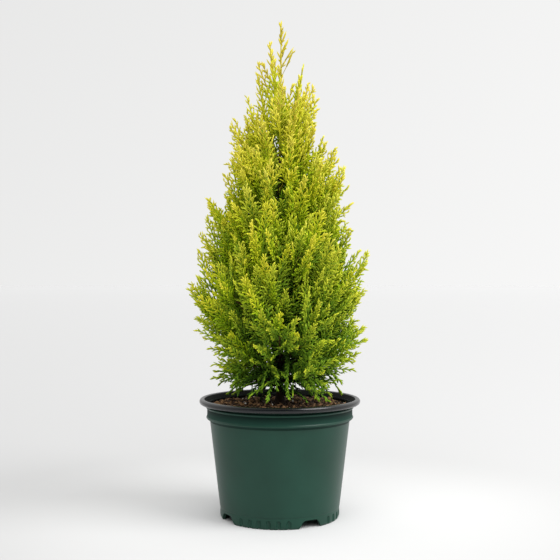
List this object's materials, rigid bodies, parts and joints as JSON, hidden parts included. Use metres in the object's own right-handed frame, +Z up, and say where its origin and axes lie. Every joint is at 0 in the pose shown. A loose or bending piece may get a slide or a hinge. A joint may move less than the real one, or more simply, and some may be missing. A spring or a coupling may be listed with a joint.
{
  "type": "potted conifer",
  "caption": "Young golden conifer with a tall tapering crown of feathery sprays on a slim upright trunk, growing in a round nursery pot with a rolled rim.",
  "frame": {"origin": "on the ground, under the middle of the pot", "axes": "+Z up along the trunk, -Y towards the viewer of the picture, +X to the viewer's right"},
  "size_m": [0.2774, 0.2736, 0.78],
  "materials": {
    "pot_green": "satin dark green moulded plastic",
    "pot_black": "smooth black moulded plastic",
    "potting_mix": "damp bark mix with pale grains",
    "bark": "rough brown bark",
    "foliage_green": "matt yellow-green scale leaves",
    "foliage_gold": "matt golden scale leaves"
  },
  "bodies": {
    "root": {"bough_01": "bark", "bough_02": "bark", "bough_03": "bark", "bough_04": "bark", "bough_05": "bark", "bough_06": "bark", "bough_07": "bark", "bough_08": "bark", "bough_09": "bark", "bough_10": "bark", "bough_11": "bark", "bough_12": "bark", "bough_13": "bark", "bough_14": "bark", "bough_15": "bark", "bough_16": "bark", "bough_17": "bark", "bough_18": "bark", "bough_19": "bark", "bough_20": "bark", "bough_21": "bark", "bough_22": "bark", "bough_23": "bark", "bough_24": "bark", "bough_25": "bark", "bough_26": "bark", "foliage_01": "foliage_green", "foliage_02": "foliage_green", "foliage_03": "foliage_green", "foliage_04": "foliage_green", "foliage_05": "foliage_green", "foliage_06": "foliage_green", "foliage_07": "foliage_green", "foliage_08": "foliage_green", "foliage_09": "foliage_green", "foliage_10": "foliage_green", "foliage_11": "foliage_green", "foliage_12": "foliage_green", "foliage_13": "foliage_gold", "foliage_14": "foliage_gold", "foliage_15": "foliage_gold", "foliage_16": "foliage_gold", "foliage_17": "foliage_gold", "foliage_18": "foliage_gold", "foliage_19": "foliage_gold", "foliage_20": "foliage_gold", "foliage_21": "foliage_gold", "foliage_22": "foliage_gold", "foliage_23": "foliage_gold", "foliage_24": "foliage_gold", "foliage_25": "foliage_gold", "foliage_26": "foliage_gold", "foliage_leader": "foliage_gold", "pot_body": "pot_green", "pot_rim": "pot_black", "potting_mix": "potting_mix", "trunk": "bark"}
  },
  "joints": []
}
